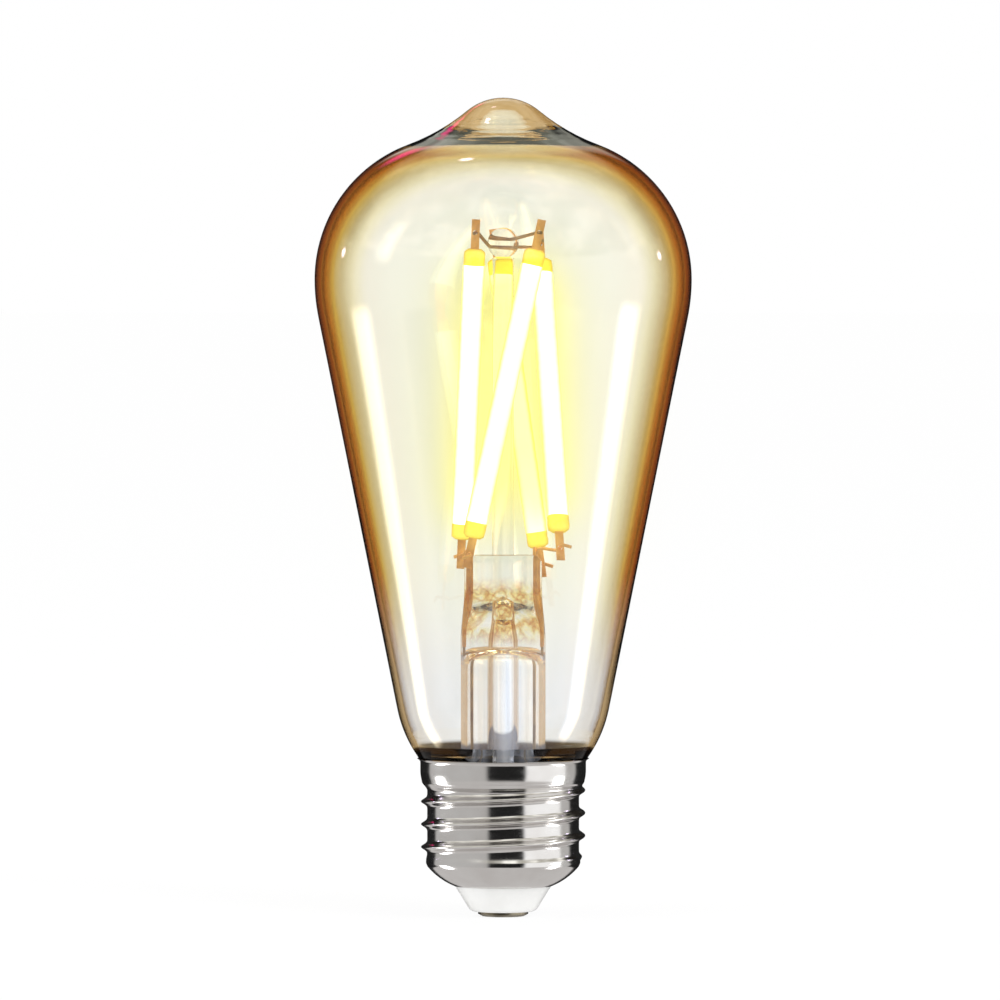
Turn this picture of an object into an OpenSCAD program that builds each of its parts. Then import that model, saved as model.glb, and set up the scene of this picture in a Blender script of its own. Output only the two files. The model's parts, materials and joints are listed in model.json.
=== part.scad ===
// Smart filament lamp: a tapered glass envelope on a medium screw cap, with four LED filaments
// around a glass post and a radio-controlled driver hidden in the cap.
// Frame: the origin is on the axis at the lowest face of the centre contact, +Z points to the tip.

/* [Envelope] */
// Overall length from the centre contact to the glass tip
lamp_len = 130.3; // [112:0.1:150]
// Largest diameter of the glass
bulb_d = 60; // [50:0.5:72]
// Height from the largest diameter up to the tip
dome_h = 28.9; // [27:0.1:34]
// Radius of the shoulder arc above the largest diameter
shoulder_r = 22.9; // [20:0.1:24.5]
// Radius of the nose at the tip
tip_r = 9; // [7.5:0.1:10]
// Radius of the hollow curve between the nose and the shoulder
tip_blend_r = 33; // [24:0.5:40]
// Glass thickness at the nose
tip_wall = 2.2; // [1.5:0.1:3]
// Glass thickness everywhere else
wall = 1; // [0.7:0.1:1.3]
// Diameter of the glass where the straight taper ends
taper_low_d = 33.7; // [32:0.1:36]
// Height above the cap's rim where the straight taper ends
taper_low_h = 7.8; // [7:0.1:10]
// Radius of the curve that runs from the taper into the neck
neck_blend_r = 20; // [17:0.5:23]
// Outer diameter of the neck that is cemented into the cap
neck_d = 23.2; // [21:0.1:23.4]
// Depth of the neck below the cap's rim
neck_in = 7.2; // [5.5:0.1:9]

/* [Stem] */
// Outer diameter of the stem tube
stem_d = 13.5; // [12:0.1:15]
// Glass thickness of the stem
stem_wall = 1; // [0.7:0.1:1.3]
// Height of the stem's top above the cap's rim
stem_h = 32.4; // [28:0.1:38]
// Length of the flat pinch at the stem's top
press_len = 13.6; // [11:0.1:16]
// Width of the pinch
press_w = 12.4; // [11.6:0.1:13]
// Thickness of the pinch
press_t = 5; // [4.4:0.1:6]
// Height of the flare that joins the stem to the neck
flare_h = 6.5; // [5:0.1:8]
// Outer diameter of the exhaust tube
exhaust_d = 5; // [4:0.1:5.8]
// Bore of the exhaust tube
exhaust_bore_d = 3.4; // [2.6:0.1:3.6]
// Diameter of the centre post
post_d = 3.4; // [2.8:0.1:4.2]
// Diameter of the bead on the post
bead_d = 5; // [4.6:0.1:6]
// Spacing of the two seal wires in the pinch
lead_spacing = 10; // [9.2:0.1:10.2]
// Diameter of the seal wires
seal_wire_d = 0.8; // [0.6:0.05:0.9]
// Diameter of the support and lead wires
wire_d = 0.55; // [0.4:0.05:0.6]

/* [Filaments] */
// Free height between the filaments' lit tops and the glass tip
tip_gap = 26.1; // [22:0.1:32]
// Height of the filaments' lit ends above the stem
filament_gap = 4.9; // [4:0.1:6]
// Width of the phosphor coat
coat_w = 3.4; // [2.6:0.1:3.8]
// Thickness of the phosphor coat
coat_t = 2.6; // [2:0.1:2.8]
// Unlit length of the coat at each end
coat_end = 2.5; // [2:0.1:3]
// Width of the filament's carrier strip
carrier_w = 1.5; // [1.2:0.1:1.8]
// Thickness of the carrier strip
carrier_t = 0.4; // [0.3:0.05:0.5]
// Spacing of the light-emitting chips
chip_pitch = 1.7; // [1.4:0.1:2.2]
// Width of the terminal tabs
tab_w = 1.3; // [1.1:0.05:1.5]
// Thickness of the terminal tabs
tab_t = 0.3; // [0.2:0.05:0.35]
// Free length of a terminal tab
tab_len = 4.8; // [4.4:0.1:5.2]
// Diameter of the hole in a terminal tab
tab_hole_d = 0.75; // [0.7:0.05:0.8]
// Distance of the tab's hole from the coat
tab_hole_h = 2.7; // [2.3:0.1:3.2]

/* [Cap] */
// Crest diameter of the lamp thread
thread_d = 26.2; // [26.05:0.01:26.34]
// Root diameter of the lamp thread
thread_root_d = 24.2; // [24:0.01:24.6]
// Pitch of the lamp thread
thread_pitch = 3.629; // [3.5:0.001:3.7]
// Height of the cap's rim
cap_h = 25.2; // [24:0.1:30]
// Height of the smooth collar under the rim
collar_h = 3.6; // [3:0.1:5]
// Diameter of the smooth collar
collar_d = 26.4; // [26.4:0.05:27]
// Sheet thickness of the shell's collar and skirt
shell_t = 0.4; // [0.35:0.05:0.5]
// Height of the lower end of the thread
thread_low_z = 8.7; // [8.2:0.1:9.2]
// Opening in the shell's bottom, which holds the insulator
mouth_d = 15.6; // [14.6:0.1:16.4]
// Diameter of the centre contact
contact_d = 8; // [7:0.1:9]
// Thickness of the centre contact
contact_t = 0.75; // [0.6:0.05:0.9]
// Bore through the insulator for the live wire
live_bore_d = 2.4; // [2:0.1:3]

/* [Driver] */
// Thickness of the sleeve that insulates the shell
sleeve_t = 0.4; // [0.3:0.05:0.5]
// Diameter of the live and neutral wires
mains_wire_d = 0.5; // [0.4:0.05:0.7]
// Thickness of the driver board
board_t = 1; // [0.8:0.1:1.2]
// Diameter of the smoothing capacitor
can_d = 5; // [4:0.1:5.5]
// Length of the smoothing capacitor
can_len = 8; // [6:0.1:8.4]
// Diameter of the inductor
coil_d = 5; // [4:0.1:5.4]
// Length of the inductor
coil_len = 4.6; // [4:0.1:5]
// Width of the radio board
radio_w = 13; // [11:0.1:13.6]
// Spacing between the driver board and the radio board
radio_gap = 2.6; // [2.3:0.1:3]

/* [Clearances] */
// Gap between the glass and the shell's lip
lip_gap = 0.05; // [0.02:0.01:0.2]
// Gap between the sleeve and its neighbours
sleeve_gap = 0.1; // [0.05:0.01:0.2]
// Gap between the boards and the sleeve
board_gap = 0.5; // [0.3:0.1:0.8]

/* [Hidden] */
$fn = 48;
filament_names = ["filament_1", "filament_2", "filament_3", "filament_4"];

// Envelope heights and centres, each as [radius, height]
bulb_r = bulb_d / 2;
neck_r = neck_d / 2;
neck_low_z = cap_h - neck_in;
equator_z = lamp_len - dome_h;
taper_low = [taper_low_d / 2, cap_h + taper_low_h];
equator_c = [0, equator_z];
shoulder_c = [bulb_r - shoulder_r, equator_z];
// Angle of the taper that touches the equator's circle and passes the taper's low end
taper_rise = equator_z - taper_low[1];
taper_a = asin(bulb_r / norm([taper_low[0], taper_rise])) - atan2(taper_low[0], taper_rise);
neck_c = taper_low - neck_blend_r * [cos(taper_a), -sin(taper_a)];

// Stem heights
stem_r = stem_d / 2;
stem_bore_r = stem_r - stem_wall;
stem_top_z = cap_h + stem_h;
press_low_z = stem_top_z - press_len;
flare_t = stem_wall;
exhaust_low_z = neck_low_z - 1.6;
exhaust_hole_z = stem_top_z - 0.58 * press_len;
seal_low_z = press_low_z - 1;

// Filament ends: lit length, and for each filament its low and high ends in polar form
lit_low_z = stem_top_z + filament_gap;
lit_len = lamp_len - tip_gap - lit_low_z;
low_r = [7.5, 9, 11.6, 9.6];
low_a = [150, 242, 318, 56];
high_r = [5, 8.4, 10.4, 8];
high_a = [203, 303, 53, 94];
// Height of each filament's low end above the common height
low_rise = [0, 0.5, 1.4, -1.5];
// Direction that each filament's flat side faces
face_a = [262, 280, 284, 70];
bead_z = lamp_len - tip_gap + 3;

// Cap radii
crest_r = thread_d / 2;
root_r = thread_root_d / 2;
collar_r = collar_d / 2;
collar_bore_r = collar_r - shell_t;
collar_low_z = cap_h - collar_h;
mouth_r = mouth_d / 2;
contact_r = contact_d / 2;
lip_h = 0.9;
lip_out = 0.5;
thread_start_z = 9.2;
thread_sides = 40;
rings_per_turn = 7;
thread_fade = 1.6;
skirt_r = root_r + 0.2;
skirt_bow_r = 10.9;
skirt_top_a = 52;
skirt_band = 0.5;
skirt_c = [
    skirt_r - skirt_bow_r * sin(skirt_top_a),
    thread_low_z - skirt_band + skirt_bow_r * cos(skirt_top_a)
];
// The rolled sheet runs into the collar and the skirt by a bite, inside their thickness
thread_bite = 0.25;
bite_gap = 0.09;
rolled_t = shell_t - 2 * bite_gap - collar_r * (1 - cos(180 / thread_sides));

// Driver places
sleeve_r = root_r - shell_t - sleeve_gap;
sleeve_bore_r = sleeve_r - sleeve_t;
sleeve_low_z = thread_low_z + 0.3;
board_low_z = thread_low_z - 1;
board_top_z = exhaust_low_z - 0.8;
board_w = 2 * (sleeve_bore_r - board_gap);
board_mid_z = (board_low_z + board_top_z) / 2;
board_step_z = sleeve_low_z + 0.3;
radio_t = 0.8;
radio_y = board_t / 2 + radio_gap + radio_t / 2;
radio_top_z = board_top_z - 1.2;
shield_t = 1.6;
solder_a = 165;

// Points along an arc about c from angle a0 to a1
function arc(c, r, a0, a1, n) =
    [for (i = [0 : n]) let (a = a0 + (a1 - a0) * i / n) c + r * [cos(a), sin(a)]];

// Direction of a vector in the plane
function heading(v) = atan2(v[1], v[0]);

// Centre of the circle that touches two others from outside, on their outer side
function touching(c0, c1, d0, d1) =
    let (d = norm(c1 - c0), u = (c1 - c0) / d, k = (d0 * d0 - d1 * d1 + d * d) / (2 * d))
    c0 + k * u + sqrt(d0 * d0 - k * k) * [-u[1], u[0]];

// Outline of the glass from the tip down to the neck, set inwards by t
function glass_outline(t, nose_r, nose_top) =
    let (
        nose_c = [0, nose_top - nose_r],
        blend_r = tip_blend_r + t,
        upper_r = shoulder_r - t,
        blend_c = touching(nose_c, shoulder_c, nose_r + blend_r, upper_r + blend_r),
        nose_a = heading(blend_c - nose_c),
        upper_a = heading(blend_c - shoulder_c),
        curve_r = neck_blend_r - t,
        neck_a = -acos((neck_r - t - neck_c[0]) / curve_r)
    )
    concat(
        arc(nose_c, nose_r, 90, nose_a, 8),
        arc(blend_c, blend_r, nose_a + 180, upper_a + 180, 6),
        arc(shoulder_c, upper_r, upper_a, 0, 16),
        arc(equator_c, bulb_r - t, -taper_a / 3, -taper_a, 2),
        arc(neck_c, curve_r, -taper_a, neck_a, 8),
        [[neck_r - t, neck_low_z]]
    );

outer_outline = glass_outline(0, tip_r, lamp_len);
inner_outline = glass_outline(wall, tip_r - tip_wall - 0.8, lamp_len - tip_wall);

function reversed(p) = [for (i = [len(p) - 1 : -1 : 0]) p[i]];

// Corner cutting that rounds the bends of a route and keeps its ends
function rounded(p) = concat(
    [p[0]],
    [for (i = [0 : len(p) - 2], k = [0.25, 0.75]) p[i] + k * (p[i + 1] - p[i])],
    [p[len(p) - 1]]
);

function unit(v) = v / norm(v);

// Direction of a route at each of its points
function headings(p) = [for (i = [0 : len(p) - 1])
    unit(p[min(i + 1, len(p) - 1)] - p[max(i - 1, 0)])];

// Normals carried along a route without twist
function carried(t, n, i = 0) = i == len(t) ? [] :
    let (m = unit(n - (n * t[i]) * t[i])) concat([m], carried(t, m, i + 1));

// Round wire along a route
module wire(route, d, sides = 8) {
    p = rounded(rounded(route));
    t = headings(p);
    n = carried(t, unit(cross(t[0], [0.31, 0.52, 0.79])));
    last = (len(p) - 1) * sides;
    points = [for (i = [0 : len(p) - 1], j = [0 : sides - 1])
        p[i] + d / 2 * (cos(j * 360 / sides) * n[i] + sin(j * 360 / sides) * cross(t[i], n[i]))];
    walls = [for (i = [0 : len(p) - 2], j = [0 : sides - 1])
        let (a = i * sides + j, b = i * sides + (j + 1) % sides)
        each [[a, b + sides, b], [a, a + sides, b + sides]]];
    polyhedron(points, concat(
        [[for (j = [0 : sides - 1]) j]],
        walls,
        [[for (j = [sides - 1 : -1 : 0]) last + j]]
    ));
}

// Filament ends in space
function polar(r, a, z) = [r * cos(a), r * sin(a), z];
function low_end(k) = polar(low_r[k], low_a[k], lit_low_z + low_rise[k]);
function high_end(k) =
    let (flat = polar(high_r[k], high_a[k], 0) - polar(low_r[k], low_a[k], 0))
    polar(high_r[k], high_a[k], low_end(k)[2] + sqrt(lit_len * lit_len - flat * flat));
function filament_dir(k) = unit(high_end(k) - low_end(k));
function low_hole(k) = low_end(k) - (coat_end + tab_hole_h) * filament_dir(k);
function high_hole(k) = high_end(k) + (coat_end + tab_hole_h) * filament_dir(k);
// Outward normal of the filament's flat side, square to the filament's own tilt
function face_dir(k) =
    let (
        u = filament_dir(k), azimuth = atan2(u[1], u[0]), tilt = acos(u[2]),
        turn = face_a[k] + 90 - azimuth,
        n = [sin(turn) * cos(tilt), -cos(turn), -sin(turn) * sin(tilt)]
    )
    [n[0] * cos(azimuth) - n[1] * sin(azimuth), n[0] * sin(azimuth) + n[1] * cos(azimuth), n[2]];

// Puts a piece that is drawn along +Z from its low end onto filament k
module on_filament(k) {
    u = filament_dir(k);
    azimuth = atan2(u[1], u[0]);
    translate(low_end(k))
        rotate([0, acos(u[2]), azimuth])
            rotate([0, 0, face_a[k] + 90 - azimuth])
                children();
}

// Revolves an outline that is given as [radius, height] points
module revolved(points) {
    rotate_extrude($fn = 96) polygon(points);
}

module glass_envelope() {
    color([0.93, 0.86, 0.72, 0.35]) revolved(concat(outer_outline, reversed(inner_outline)));
}

// Space that the glass fills, grown by gap
module glass_body(gap) {
    outline = glass_outline(-gap, tip_r, lamp_len);
    revolved(concat(outline, [[0, neck_low_z]]));
}

// Flare, tube and pinch in one piece of glass
module stem_tube() {
    bell_r = neck_r - wall;
    bow_r = bell_r - stem_r;
    color([0.95, 0.95, 0.92, 0.4]) difference() {
        union() {
            revolved(concat(
                [[0, neck_low_z], [bell_r, neck_low_z], [bell_r, neck_low_z + flare_t]],
                [for (q = arc([1, 1], 1, 270, 180, 8))
                    [stem_r + bow_r * q[0], neck_low_z + flare_t + (flare_h - flare_t) * q[1]]],
                [[stem_r, press_low_z], [0, press_low_z]]
            ));
            stem_press();
        }
        revolved(concat(
            [[0, neck_low_z - 1], [bell_r - flare_t, neck_low_z - 1]],
            [for (q = arc([1, 1], 1, 270, 180, 8))
                [stem_bore_r + bow_r * q[0], neck_low_z + (flare_h - flare_t) * q[1]]],
            [[stem_bore_r, press_low_z - stem_wall], [0, press_low_z - stem_wall]]
        ));
        exhaust_passage();
        seal_wire_bores();
    }
}

// Pinch: the round tube squeezed flat between two jaws
module stem_press() {
    squeeze_h = 4;
    intersection() {
        revolved([
            [0, press_low_z], [stem_r, press_low_z],
            [press_w / 2, press_low_z + squeeze_h],
            [press_w / 2, stem_top_z - 1], [press_w / 2 - 1, stem_top_z], [0, stem_top_z]
        ]);
        rotate([90, 0, 90]) linear_extrude(height = 2 * stem_r, center = true) polygon([
            [-stem_r, press_low_z], [stem_r, press_low_z],
            [press_t / 2, press_low_z + squeeze_h], [press_t / 2, stem_top_z],
            [-press_t / 2, stem_top_z], [-press_t / 2, press_low_z + squeeze_h]
        ]);
    }
}

// Way from the exhaust tube through the pinch to the bulb, out of its front
module exhaust_passage() {
    translate([0, 0, press_low_z - stem_wall - 0.01])
        cylinder(d = exhaust_bore_d, h = exhaust_hole_z - press_low_z + stem_wall + 0.01);
    translate([0, 0, exhaust_hole_z - exhaust_bore_d / 2])
        rotate([90, 0, 0]) cylinder(d = exhaust_bore_d * 0.9, h = press_t);
}

module seal_wire_bores() {
    for (side = [-1, 1]) translate([side * lead_spacing / 2, 0, press_low_z - stem_wall - 1])
        cylinder(d = seal_wire_d, h = press_len + stem_wall + 2);
}

module exhaust_tube() {
    seal_h = 1.2;
    height = press_low_z - stem_wall - exhaust_low_z;
    color([0.95, 0.95, 0.92, 0.4]) translate([0, 0, exhaust_low_z]) difference() {
        union() {
            translate([0, 0, seal_h]) cylinder(d = exhaust_d, h = height - seal_h);
            cylinder(d1 = exhaust_bore_d * 0.6, d2 = exhaust_d, h = seal_h);
        }
        translate([0, 0, seal_h]) cylinder(d = exhaust_bore_d, h = height);
    }
}

module centre_post() {
    bead_r = bead_d / 2;
    post_r = post_d / 2;
    bead_a = acos(post_r / bead_r);
    color([0.96, 0.94, 0.88, 0.4]) difference() {
        revolved(concat(
            [[0, stem_top_z], [post_r, stem_top_z]],
            arc([0, bead_z], bead_r, -bead_a, 90, 10)
        ));
        for (way = [bridge_low(), bridge_high()])
            translate(way[5]) rotate([0, 90, heading(way[6] - way[5])])
                cylinder(d = wire_d, h = norm(way[6] - way[5]));
    }
}

// Wires sealed into the pinch
module seal_wires() {
    color([0.72, 0.42, 0.22])
        for (side = [-1, 1]) translate([side * lead_spacing / 2, 0, seal_low_z])
            cylinder(d = seal_wire_d, h = stem_top_z - seal_low_z);
}

// Route from a lead's knee through the tab's hole of filament k, ending in a bent stub
function to_low_hole(k, knee, stub) =
    let (hole = low_hole(k), n = face_dir(k), out = n * sign(n * (hole - knee)))
    [hole - 1.4 * out, hole - 0.8 * out, hole + 0.8 * out, hole + 1.4 * out,
        hole + 1.6 * out + stub];

// Wire that joins filaments i and j across a seal wire's top
module lead_hook(side, i, j) {
    foot = [side * lead_spacing / 2, 0, stem_top_z];
    knee = foot + [0, 0, 1.3];
    stub = [side * 1.4, 0, -0.5];
    color([0.78, 0.56, 0.32]) union() {
        wire([foot, foot + [0, 0, 0.5], knee], wire_d);
        wire(concat(reversed(to_low_hole(i, knee, stub)), [knee], to_low_hole(j, knee, stub)),
            wire_d);
    }
}

module lead_hook_left() {
    lead_hook(-1, 0, 1);
}

module lead_hook_right() {
    lead_hook(1, 3, 2);
}

// Route of a wire that carries the tops of filaments i and j through the bead at height z
function bridge(i, j, z) =
    let (
        hi = high_hole(i), hj = high_hole(j), ni = face_dir(i), nj = face_dir(j),
        across = unit([hj[0] - hi[0], hj[1] - hi[1], 0]), middle = [0, 0, z],
        inner = 0.55 * bead_d, outer = 0.7 * bead_d
    )
    [hi + 1.5 * ni, hi + 0.9 * ni, hi - 0.9 * ni, hi - 1.4 * ni,
        middle - outer * across, middle - inner * across,
        middle + inner * across, middle + outer * across,
        hj - 1.4 * nj, hj - 0.9 * nj, hj + 0.9 * nj, hj + 1.5 * nj];
function bridge_low() = bridge(0, 2, bead_z - 0.6);
function bridge_high() = bridge(1, 3, bead_z + 0.6);

module bridge_wire_low() {
    color([0.45, 0.36, 0.26]) wire(bridge_low(), wire_d);
}

module bridge_wire_high() {
    color([0.45, 0.36, 0.26]) wire(bridge_high(), wire_d);
}

// Strip that carries a filament's chips
module filament_carrier(k) {
    color([0.85, 0.85, 0.8]) on_filament(k)
        translate([-carrier_w / 2, -carrier_t / 2, -coat_end / 2])
            cube([carrier_w, carrier_t, lit_len + coat_end]);
}

// Light-emitting chips in a row along the carrier
module filament_chips(k) {
    chip = [0.6, 0.2, 1];
    count = floor((lit_len - chip[2]) / chip_pitch);
    spare = lit_len - count * chip_pitch;
    color([0.35, 0.5, 0.9]) on_filament(k)
        for (i = [0 : count]) translate([
            -chip[0] / 2, -carrier_t / 2 - chip[1], spare / 2 + i * chip_pitch - chip[2] / 2
        ]) cube(chip);
}

// Phosphor coat, with its two long edges fully round
module filament_coat(k) {
    color([1, 0.86, 0.35]) difference() {
        on_filament(k) translate([0, 0, -coat_end]) linear_extrude(height = lit_len + 2 * coat_end)
            union() {
                square([coat_w - coat_t, coat_t], center = true);
                for (side = [-1, 1]) translate([side * (coat_w - coat_t) / 2, 0])
                    circle(d = coat_t, $fn = 32);
            }
        filament_carrier(k);
        filament_chips(k);
        filament_tabs(k);
    }
}

// Terminal tabs at both ends, each with a wire hole
module filament_tabs(k) {
    grip = coat_end / 2;
    color([0.8, 0.5, 0.28]) on_filament(k)
        for (flip = [0, 1]) translate([0, 0, flip * lit_len]) mirror([0, 0, flip])
            difference() {
                translate([-tab_w / 2, -tab_t / 2, -coat_end - tab_len])
                    cube([tab_w, tab_t, tab_len + grip]);
                translate([0, 0, -coat_end - tab_hole_h]) rotate([90, 0, 0])
                    cylinder(d = tab_hole_d, h = 4 * tab_t, center = true);
            }
}

// Wires from the driver board up inside the stem to the seal wires
module output_wire(side) {
    top = [side * lead_spacing / 2, 0, seal_low_z];
    pad = [side * (board_w / 2 - 1.6), -board_t / 2 - 0.4, board_top_z - 1.5];
    color([0.75, 0.75, 0.75]) wire([
        top, top - [0, 0, 4], [top[0], 0, neck_low_z + flare_h], [top[0], 0, neck_low_z + 3],
        [side * (stem_bore_r + 0.6), 0, neck_low_z - 0.2], pad + [0, 0, 2.4], pad
    ], wire_d);
}

module output_wire_left() {
    output_wire(-1);
}

module output_wire_right() {
    output_wire(1);
}

// Ring of cement between the neck and the collar
module basing_cement() {
    color([0.55, 0.5, 0.42]) difference() {
        revolved([
            [neck_r - 1, collar_low_z + 0.3], [collar_bore_r, collar_low_z + 0.3],
            [collar_bore_r, cap_h - lip_h], [neck_r - 1, cap_h - lip_h]
        ]);
        glass_body(0);
    }
}

// Share of the thread's full depth at angle a and height z
function crest_share(a, z) = pow((1 + cos(360 * (z - thread_start_z) / thread_pitch - a)) / 2, 1.3);

// Rise from 0 to 1 without a kink
function eased(x) = let (s = min(max(x, 0), 1)) s * s * (3 - 2 * s);

// Radius of the rolled sheet's outside at angle a and height z
function thread_r(a, z) =
    let (
        grown = eased((z - thread_low_z) / thread_fade),
        joined = eased((z - collar_low_z) / thread_fade + 1),
        rolled = root_r + (crest_r - root_r) * crest_share(a, z)
    )
    (1 - joined) * ((1 - grown) * (skirt_r - bite_gap) + grown * rolled)
    + joined * (collar_r - bite_gap);

// Thread rolled into the shell's sheet, as an outer and an inner skin
module rolled_thread() {
    low_z = thread_low_z - thread_bite;
    height = collar_low_z + thread_bite - low_z;
    rings = ceil(height / thread_pitch * rings_per_turn);
    n = thread_sides;
    inner = (rings + 1) * n;
    points = [for (t = [0, rolled_t], i = [0 : rings], j = [0 : n - 1])
        let (a = j * 360 / n, z = low_z + i * height / rings) polar(thread_r(a, z) - t, a, z)];
    skins = [for (i = [0 : rings - 1], j = [0 : n - 1])
        let (a = i * n + j, b = i * n + (j + 1) % n)
        each [
            [a, b + n, b], [a, a + n, b + n],
            [inner + a, inner + b, inner + b + n], [inner + a, inner + b + n, inner + a + n]
        ]];
    rims = [for (j = [0 : n - 1])
        let (b = (j + 1) % n, top = rings * n)
        each [
            [j, b, inner + b], [j, inner + b, inner + j],
            [top + j, inner + top + b, top + b], [top + j, inner + top + j, inner + top + b]
        ]];
    polyhedron(points, concat(skins, rims));
}

// Points on the bowed skirt below the thread, set inwards by t, from radius r0 to r1
function skirt(t, r0, r1, n) =
    let (r = skirt_bow_r - t)
    arc(skirt_c, r, -acos((r0 - skirt_c[0]) / r), -acos((r1 - skirt_c[0]) / r), n);

// Skirt below the thread, which curves in to the mouth
module shell_skirt() {
    revolved(concat(
        skirt(0, mouth_r, skirt_r, 8),
        [[skirt_r, thread_low_z], [skirt_r - shell_t, thread_low_z]],
        reversed(skirt(shell_t, mouth_r, skirt_r - shell_t, 8)),
        [[mouth_r, skirt(0, mouth_r, skirt_r, 1)[0][1]]]
    ));
}

// Rim of the insulator inside the shell
flange_r = mouth_r + 1.4;
insulator_top_z = skirt(shell_t, mouth_r, flange_r, 1)[1][1] + 0.5;

module screw_shell() {
    color([0.82, 0.82, 0.8]) union() {
        rolled_thread();
        difference() {
            revolved([
                [collar_bore_r, collar_low_z], [collar_r, collar_low_z],
                [collar_r, cap_h - lip_h], [collar_r + lip_out, cap_h - lip_h / 3],
                [collar_r + lip_out, cap_h], [collar_bore_r, cap_h]
            ]);
            glass_body(lip_gap);
        }
        shell_skirt();
    }
}

// Insulator that closes the shell's mouth and holds the contact
module cap_insulator() {
    seat = skirt(shell_t, mouth_r, flange_r, 4);
    color([0.95, 0.95, 0.93]) difference() {
        revolved(concat(
            [[0, contact_t], [contact_r + 0.1, contact_t]],
            arc([contact_r + 0.5, contact_t + 1.2], 1.2, -80, -30, 4),
            [[mouth_r - 0.1, seat[0][1] - shell_t], [mouth_r, seat[0][1] - shell_t / 2]],
            seat,
            [[flange_r, insulator_top_z], [0, insulator_top_z]]
        ));
        shell_skirt();
        cylinder(d = live_bore_d, h = thread_low_z);
    }
}

module centre_contact() {
    edge = 0.35;
    color([0.6, 0.55, 0.45]) revolved([
        [0, 0], [contact_r - 2 * edge, 0], [contact_r, edge], [contact_r, contact_t],
        [0, contact_t]
    ]);
}

// Hollow rivet that passes the live wire through the insulator
module contact_rivet() {
    flange_z = insulator_top_z;
    bore_r = mains_wire_d / 2 + 0.15;
    color([0.75, 0.65, 0.4]) revolved([
        [bore_r, contact_t], [live_bore_d / 2, contact_t], [live_bore_d / 2, flange_z],
        [live_bore_d / 2 + 0.6, flange_z], [live_bore_d / 2 + 0.6, flange_z + 0.3],
        [bore_r, flange_z + 0.3]
    ]);
}

// Place and size of the solder that joins the neutral wire to the skirt's inside
solder_r = 0.7;
solder_spot = skirt(shell_t, mouth_r, skirt_r - shell_t, 8)[5];
solder_c = polar(solder_spot[0], solder_a, solder_spot[1]);
neutral_bend = polar(solder_spot[0] - 1.4, solder_a, solder_spot[1] + 0.7);

module shell_solder() {
    color([0.7, 0.7, 0.72]) intersection() {
        translate(solder_c) sphere(r = solder_r);
        revolved(concat([[0, thread_low_z - 3]], skirt(shell_t, mouth_r, skirt_r - shell_t, 8)));
    }
}

module insulating_sleeve() {
    color([0.2, 0.2, 0.22]) translate([0, 0, sleeve_low_z]) difference() {
        cylinder(r = sleeve_r, h = neck_low_z - sleeve_gap - sleeve_low_z, $fn = 96);
        translate([0, 0, -1]) cylinder(r = sleeve_bore_r, h = neck_low_z, $fn = 96);
    }
}

// Board that carries the driver, with a narrow foot that reaches into the skirt
module driver_board() {
    foot_w = 2 * (mouth_r + 0.4);
    color([0.1, 0.35, 0.2]) union() {
        translate([-board_w / 2, -board_t / 2, board_step_z])
            cube([board_w, board_t, board_top_z - board_step_z]);
        translate([-foot_w / 2, -board_t / 2, board_low_z])
            cube([foot_w, board_t, board_step_z - board_low_z]);
    }
}

can_at = [-board_w / 2 + 1.6, -board_t / 2 - can_d / 2, board_low_z + can_d / 2 + 0.2];

// Electrolytic capacitor lying along the board's front, with its crimp groove
module smoothing_capacitor() {
    groove_low = 1.2;
    groove_high = 1.7;
    color([0.12, 0.14, 0.3]) translate(can_at) rotate([0, 90, 0]) union() {
        cylinder(d = can_d, h = groove_low);
        translate([0, 0, groove_low]) cylinder(d = can_d - 0.5, h = groove_high - groove_low);
        translate([0, 0, groove_high]) cylinder(d = can_d, h = can_len - groove_high);
    }
}

module capacitor_leads() {
    lead_d = 0.5;
    reach = 0.7;
    color([0.8, 0.8, 0.8]) for (side = [-1, 1])
        translate(can_at + [can_len, 0, side]) union() {
            rotate([0, 90, 0]) cylinder(d = lead_d, h = reach);
            translate([reach, 0, 0]) rotate([-90, 0, 0]) cylinder(d = lead_d, h = can_d / 2);
        }
}

coil_at = [board_w / 4 + 0.6, -board_t / 2, board_low_z + coil_d / 2 + 1.2];
coil_core_d = coil_d * 0.45;
coil_flange_t = 0.8;

// Ferrite bobbin standing on the board's front
module inductor_core() {
    color([0.25, 0.25, 0.27]) translate(coil_at) rotate([90, 0, 0]) union() {
        cylinder(d = coil_d, h = coil_flange_t);
        translate([0, 0, coil_flange_t])
            cylinder(d = coil_core_d, h = coil_len - 2 * coil_flange_t);
        translate([0, 0, coil_len - coil_flange_t]) cylinder(d = coil_d, h = coil_flange_t);
    }
}

module inductor_winding() {
    color([0.75, 0.4, 0.2]) translate(coil_at - [0, coil_flange_t, 0]) rotate([90, 0, 0])
        difference() {
            cylinder(d = coil_d * 0.9, h = coil_len - 2 * coil_flange_t);
            translate([0, 0, -1]) cylinder(d = coil_core_d, h = coil_len);
        }
}

// Moulded body on the board's back at x and z, with its size and standoff
module chip_body(x, z, size, lift) {
    translate([x - size[0] / 2, board_t / 2 + lift, z - size[2] / 2]) cube(size);
}

// Pins along both long sides of a moulded body
module chip_legs(x, z, size, lift, count) {
    leg = [0.35, lift, 0.9];
    pitch = size[0] / count;
    for (i = [0 : count - 1], side = [-1, 1]) translate([
        x - size[0] / 2 + (i + 0.5) * pitch - leg[0] / 2,
        board_t / 2, z + side * (size[2] / 2) - leg[2] / 2
    ]) cube(leg);
}

rectifier_size = [3.6, 1.3, 3];
rectifier_x = -board_w / 2 + 3.2;
driver_chip_size = [4, 1.3, 3];
driver_chip_x = board_w / 2 - 3.4;
leg_lift = 0.2;

module bridge_rectifier() {
    color([0.12, 0.12, 0.12]) chip_body(rectifier_x, board_mid_z, rectifier_size, leg_lift);
}

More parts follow.
